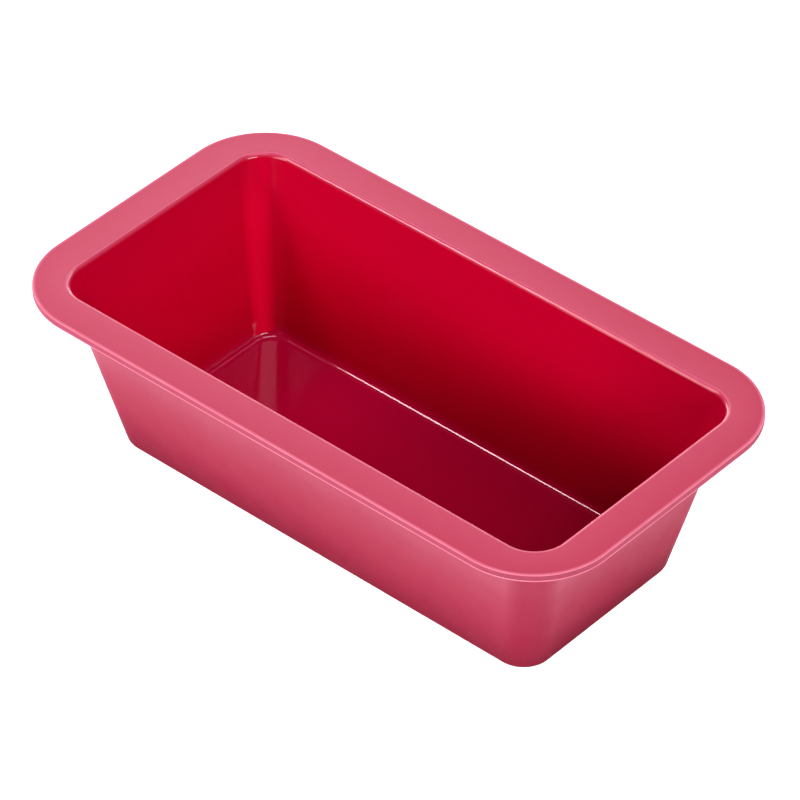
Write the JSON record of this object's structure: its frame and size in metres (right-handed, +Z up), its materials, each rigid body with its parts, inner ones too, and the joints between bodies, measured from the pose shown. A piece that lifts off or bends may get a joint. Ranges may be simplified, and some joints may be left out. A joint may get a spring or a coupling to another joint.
{
  "type": "soap loaf mould",
  "caption": "Open rectangular silicone loaf mould with tapered walls, rounded corners, glossy cavity and a flat stiffened rim all round.",
  "frame": {"origin": "centre of the outside of the base, on the surface that the mould stands on", "axes": "+Z up through the open mouth, X along the loaf, Y across it"},
  "size_m": [0.255, 0.1386, 0.0715],
  "materials": {
    "silicone": "red silicone, matte outside and on the rim, glossy in the cavity",
    "steel": "drawn stainless wire"
  },
  "bodies": {
    "root": {"silicone_tray": "silicone", "rim_wire": "steel"}
  },
  "joints": []
}
